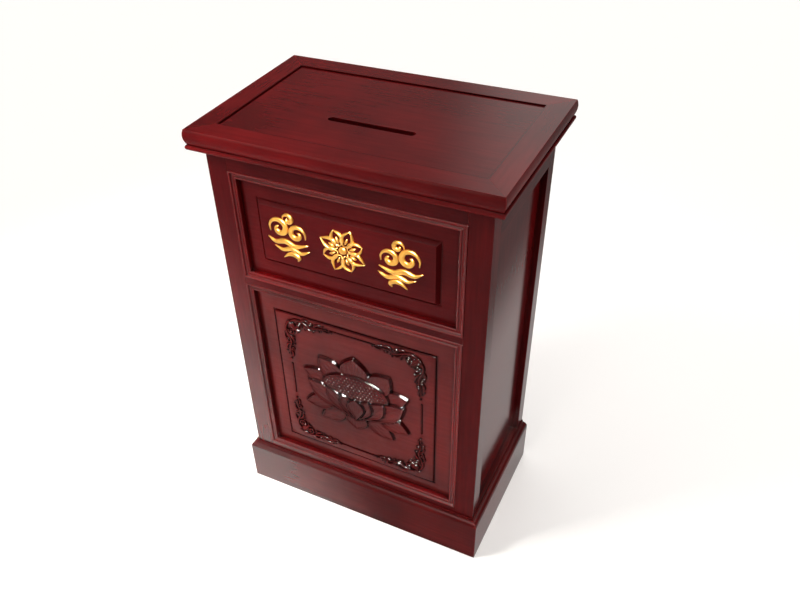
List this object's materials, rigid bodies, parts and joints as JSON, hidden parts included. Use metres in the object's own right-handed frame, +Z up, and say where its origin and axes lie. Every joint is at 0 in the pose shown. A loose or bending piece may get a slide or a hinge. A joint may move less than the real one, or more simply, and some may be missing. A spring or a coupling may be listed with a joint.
{
  "type": "donation box",
  "caption": "Free-standing wooden donation box with a slotted overhanging lid, framed carved front, recessed sides, plinth and a lockable hinged rear door.",
  "frame": {"origin": "on the floor, at the middle of the object's footprint", "axes": "+Z up; the decorated front faces -Y; +X is to the right as seen from the front"},
  "size_m": [0.52, 0.332, 0.8],
  "materials": {
    "lid_lacquer": "glossy dark red lacquer over hardwood",
    "frame_lacquer": "glossy dark red lacquer over hardwood",
    "moulding_lacquer": "glossy dark red lacquer over hardwood, darker in the hollows",
    "panel_lacquer": "glossy dark red lacquer over hardwood",
    "carved_lacquer": "satin-gloss red-brown lacquer over carved hardwood",
    "plinth_lacquer": "glossy dark red lacquer over hardwood",
    "inner_wood": "bare planed wood",
    "gilt": "polished gold leaf or gilt paint",
    "hinge_brass": "polished brass, slightly tarnished",
    "screw_steel": "zinc-plated steel",
    "lock_nickel": "nickel-plated"
  },
  "bodies": {
    "root": {"back_bottom_rail": "frame_lacquer", "back_left_post": "frame_lacquer", "back_right_post": "frame_lacquer", "back_top_rail": "frame_lacquer", "bottom_board": "inner_wood", "bottom_cleats": "inner_wood", "centre_gilt_blossom": "gilt", "cleat_screws": "screw_steel", "door_stops": "inner_wood", "frieze_moulding_bottom": "moulding_lacquer", "frieze_moulding_left": "moulding_lacquer", "frieze_moulding_right": "moulding_lacquer", "frieze_moulding_top": "moulding_lacquer", "frieze_panel": "panel_lacquer", "front_bottom_rail": "frame_lacquer", "front_left_post": "frame_lacquer", "front_mid_rail": "frame_lacquer", "front_right_post": "frame_lacquer", "front_top_rail": "frame_lacquer", "hinge_frame_screws": "screw_steel", "left_bottom_rail": "frame_lacquer", "left_gilt_cloud": "gilt", "left_side_panel": "panel_lacquer", "left_top_rail": "frame_lacquer", "lid_back_rail": "lid_lacquer", "lid_bead_moulding": "lid_lacquer", "lid_dowels": "inner_wood", "lid_front_rail": "lid_lacquer", "lid_left_rail": "lid_lacquer", "lid_panel": "panel_lacquer", "lid_right_rail": "lid_lacquer", "lotus_moulding_bottom": "moulding_lacquer", "lotus_moulding_left": "moulding_lacquer", "lotus_moulding_right": "moulding_lacquer", "lotus_moulding_top": "moulding_lacquer", "lotus_panel": "carved_lacquer", "lower_hinge_frame_leaf": "hinge_brass", "lower_hinge_pin": "hinge_brass", "plinth_front": "plinth_lacquer", "plinth_left": "plinth_lacquer", "plinth_right": "plinth_lacquer", "right_bottom_rail": "frame_lacquer", "right_gilt_cloud": "gilt", "right_side_panel": "panel_lacquer", "right_top_rail": "frame_lacquer", "upper_hinge_frame_leaf": "hinge_brass", "upper_hinge_pin": "hinge_brass"},
    "door": {"door_bottom_rail": "frame_lacquer", "door_hinge_stile": "frame_lacquer", "door_lock_stile": "frame_lacquer", "door_panel": "panel_lacquer", "door_top_rail": "frame_lacquer", "lower_hinge_door_leaf": "hinge_brass", "upper_hinge_door_leaf": "hinge_brass", "hinge_door_screws": "screw_steel", "lock_housing": "lock_nickel", "lock_nut": "lock_nickel"},
    "lock_plug_body": {"lock_plug": "lock_nickel", "lock_cam": "lock_nickel", "lock_cam_screw": "screw_steel"}
  },
  "joints": [
    {"name": "door_swing", "type": "hinge", "parent": "root", "child": "door", "pos_m": [-0.20125, 0.145, 0.415], "axis": [0, 0, 1], "range_deg": [0, 170]},
    {"name": "lock_turn", "type": "hinge", "parent": "door", "child": "lock_plug_body", "pos_m": [0.178, 0.11, 0.415], "axis": [0, 1, 0], "range_deg": [0, 90]}
  ]
}
